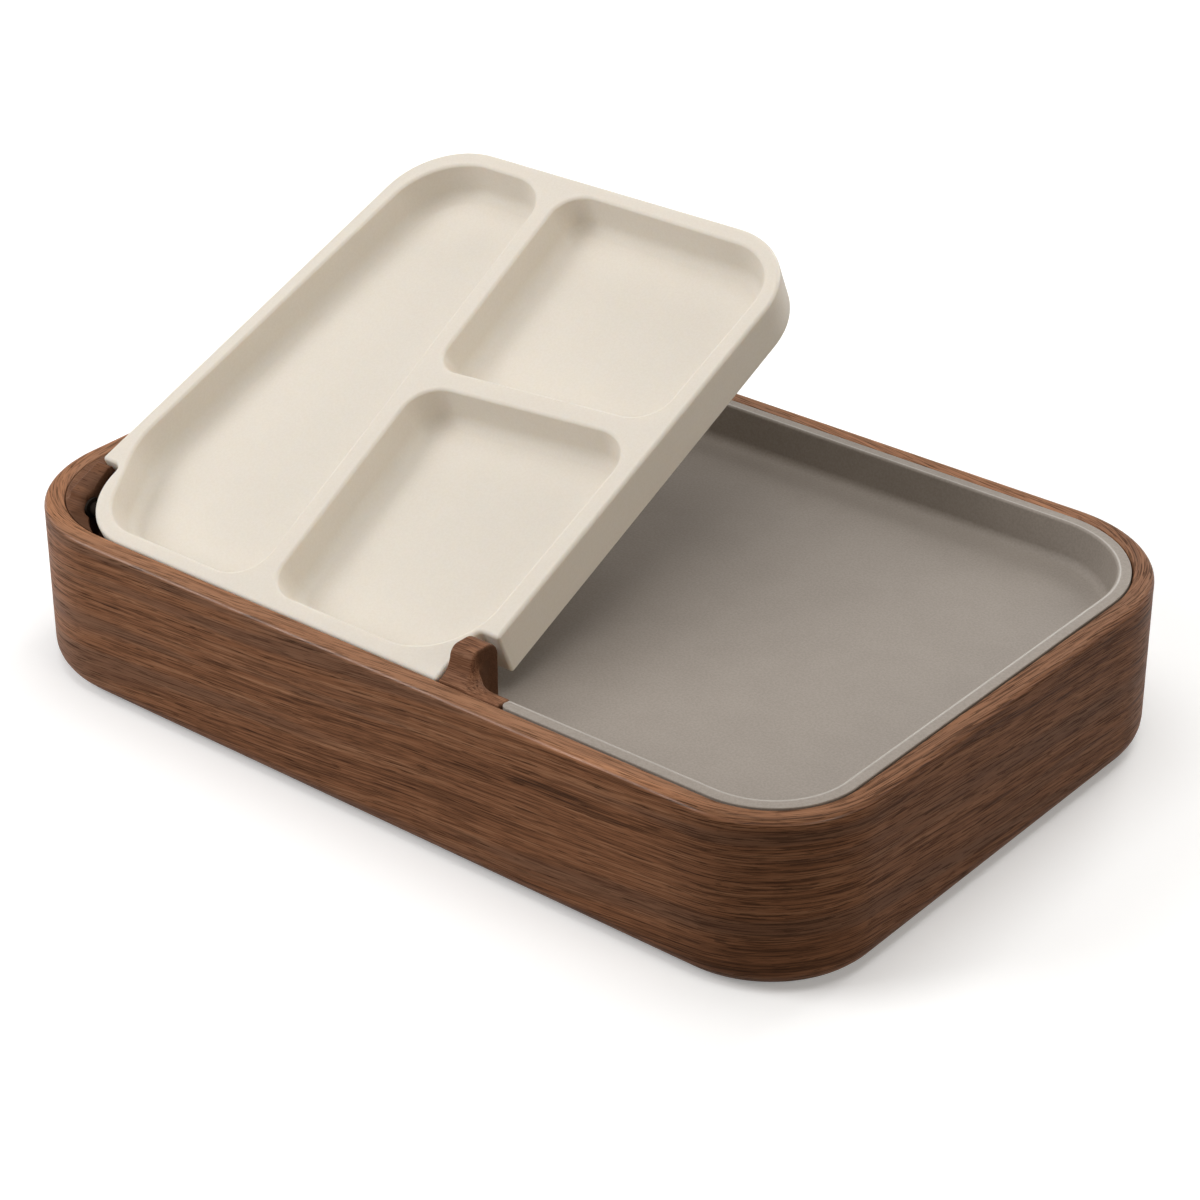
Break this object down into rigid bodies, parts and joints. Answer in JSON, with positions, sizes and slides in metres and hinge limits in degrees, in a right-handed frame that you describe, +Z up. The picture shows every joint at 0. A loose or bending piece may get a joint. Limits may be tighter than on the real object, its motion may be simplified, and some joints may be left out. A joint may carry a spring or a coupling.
{
  "type": "divided serving tray",
  "caption": "Walnut serving tray with a grey inlay and a cream divided tray that swings up on wooden lugs at the front.",
  "frame": {"origin": "centre of the base on the table", "axes": "+X along the length towards the open half of the inlay, +Y to the back, +Z up"},
  "size_m": [0.4, 0.268, 0.1652],
  "materials": {
    "walnut": "oiled satin",
    "cream_tray": "matte, fine moulded texture",
    "taupe_inlay": "matte, fine leathery texture",
    "steel": "satin",
    "dark_nylon": "matte",
    "silicone": "matte"
  },
  "bodies": {
    "base": {"base_band": "walnut", "base_deck": "walnut", "bottom_panel": "walnut", "inlay": "taupe_inlay", "hinge_lug_right": "walnut", "hinge_lug_left": "walnut", "hinge_pin_right": "steel", "hinge_pin_left": "steel", "panel_screw_1": "steel", "panel_screw_2": "steel", "panel_screw_3": "steel", "panel_screw_4": "steel", "panel_screw_5": "steel", "panel_screw_6": "steel", "foot_pad_1": "silicone", "foot_pad_2": "silicone", "foot_pad_3": "silicone", "foot_pad_4": "silicone", "lug_screw_right_1": "steel", "lug_screw_right_2": "steel", "lug_screw_left_1": "steel", "lug_screw_left_2": "steel"},
    "tray": {"divided_tray": "cream_tray", "pivot_bush_right": "dark_nylon", "pivot_bush_left": "dark_nylon", "friction_washer_right": "dark_nylon", "friction_washer_left": "dark_nylon"}
  },
  "joints": [
    {"name": "tray_hinge", "type": "hinge", "parent": "base", "child": "tray", "pos_m": [-0.064, -0.1107, 0.0697], "axis": [1, 0, 0], "range_deg": [-23.65, 36]}
  ]
}
